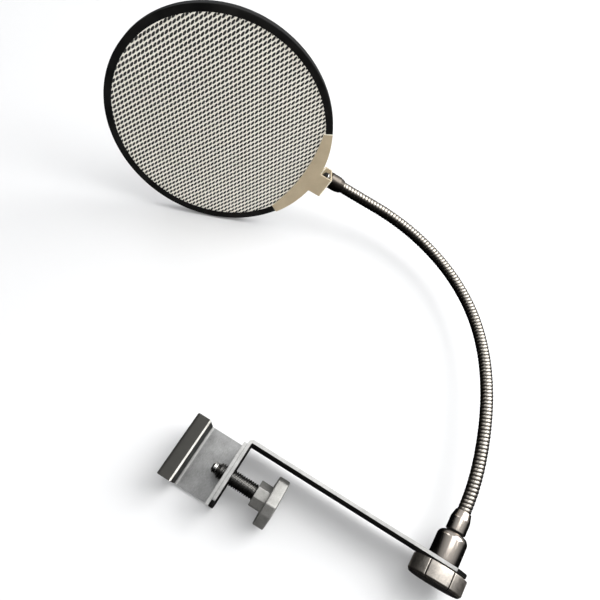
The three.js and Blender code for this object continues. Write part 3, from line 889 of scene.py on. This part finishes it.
def build_inner_screen():
    """A nylon disc that sags a little at its middle, with its weave stored as flow."""
    rings, columns, radius = 18, 96, 73.6
    sag, ripple, threads = 0.25, 0.03, 1.6
    verts, faces = [], []
    for z in (-3.2, -3.5):
        verts.append((0, 0, z - sag))
        for i in range(1, rings + 1):
            r = radius * i / rings
            for c in range(columns):
                a = TAU * c / columns
                slack = sag * math.cos(math.pi / 2 * r / radius)
                slack += ripple * math.sin(a * 5 + r * 0.2)
                verts.append((r * math.cos(a), r * math.sin(a), z - slack * (r < radius)))
    per = 1 + rings * columns

    def at(layer, i, c):
        return layer * per + (1 + (i - 1) * columns + c % columns if i else 0)

    for layer in (0, 1):
        for c in range(columns):
            faces.append([at(layer, 0, 0), at(layer, 1, c), at(layer, 1, c + 1)])
            for i in range(1, rings):
                faces.append([at(layer, i, c), at(layer, i + 1, c), at(layer, i + 1, c + 1),
                              at(layer, i, c + 1)])
    for c in range(columns):
        faces.append([at(0, rings, c), at(1, rings, c), at(1, rings, c + 1), at(0, rings, c + 1)])
    show("nylon_layer", verts, faces, HEAD, "head", "black_nylon", "nylon", ("inner_screen",), 50,
         lambda x, y, z: (x * threads, y * threads, z))


build_head()
build_mesh_screen()
build_inner_screen()


# ---- floor, backdrop, light ----------------------------------------------------------------
def build_floor():
    mesh = bpy.data.meshes.new("floor")
    size = 6.0
    corners = [(-size, -size, 0), (size, -size, 0), (size, size, 0), (-size, size, 0)]
    mesh.from_pydata(corners, [], [[0, 1, 2, 3]])
    floor = bpy.data.objects.new("floor", mesh)
    bpy.context.scene.collection.objects.link(floor)
    look = Look("floor", (0.69, 0.69, 0.69), 0.7)
    look.link(look.range(look.noise(0.02, 2.0), 0.3, 0.7, 0.66, 0.74), "Roughness")
    mesh.materials.append(look.material)
    floor.visible_glossy = False


def build_backdrop():
    """A pale wall all round, far away, that only the camera sees."""
    radius, height, columns = 5.9, 5.0, 96
    ring = [(radius * math.cos(TAU * c / columns), radius * math.sin(TAU * c / columns))
            for c in range(columns)]
    verts = [(x, y, z) for z in (0, height) for x, y in ring]
    faces = [[c, (c + 1) % columns, columns + (c + 1) % columns, columns + c]
             for c in range(columns)]
    mesh = bpy.data.meshes.new("backdrop")
    mesh.from_pydata(verts, [], faces)
    wall = bpy.data.objects.new("backdrop", mesh)
    bpy.context.scene.collection.objects.link(wall)
    look = Look("backdrop", (0, 0, 0), 1.0, Emission_Color=(0.62, 0.63, 0.64, 1),
                Emission_Strength=1)
    mesh.materials.append(look.material)
    wall.visible_diffuse = False
    wall.visible_glossy = False
    wall.visible_shadow = False


def area_light(name, place, target, size, power, shadow=True, shine=True):
    """A rectangle of light, size (width, height); without shine it isn't seen in metal."""
    data = bpy.data.lights.new(name, "AREA")
    data.energy = power
    data.shape = "RECTANGLE"
    data.size, data.size_y = size
    data.use_shadow = shadow
    light = bpy.data.objects.new(name, data)
    bpy.context.scene.collection.objects.link(light)
    light.visible_glossy = shine
    aim(light, place, target)


DOME_MIDDLE = (0.0, 0.643, 0.766)
DOME_STRENGTH = 0.72


def build_light():
    """A dome, white above and behind the part and black elsewhere, and four soft lights."""
    world = bpy.data.worlds.new("studio")
    bpy.context.scene.world = world
    world.use_nodes = True
    tree = world.node_tree
    nodes, links = tree.nodes, tree.links
    where = nodes.new("ShaderNodeTexCoord")
    toward = nodes.new("ShaderNodeVectorMath")
    toward.operation = "DOT_PRODUCT"
    toward.inputs[1].default_value = DOME_MIDDLE
    ramp = nodes.new("ShaderNodeValToRGB")
    links.new(where.outputs["Generated"], toward.inputs[0])
    links.new(toward.outputs["Value"], ramp.inputs["Fac"])
    links.new(ramp.outputs["Color"], nodes["Background"].inputs["Color"])
    first, last = ramp.color_ramp.elements
    first.position, first.color = 0.2, (0.0, 0.0, 0.0, 1)
    last.position, last.color = 0.7, (0.95, 0.97, 1.0, 1)
    nodes["Background"].inputs["Strength"].default_value = DOME_STRENGTH
    middle = (0.03, 0.0, 0.02)
    area_light("key", (0.62, 0.72, 0.95), middle, (1.0, 1.0), 19)
    area_light("top", (0.02, 0.32, 1.2), middle, (0.7, 0.7), 5, False)
    area_light("front", (0.9, -0.75, 0.38), (-0.05, 0.0, 0.05), (0.6, 0.5), 13, False, False)
    area_light("left", (-0.85, 0.5, 0.65), (0.1, -0.05, 0.02), (0.2, 0.6), 1.5, False)


build_floor()
build_backdrop()
build_light()
bpy.context.scene.view_settings.view_transform = "Standard"
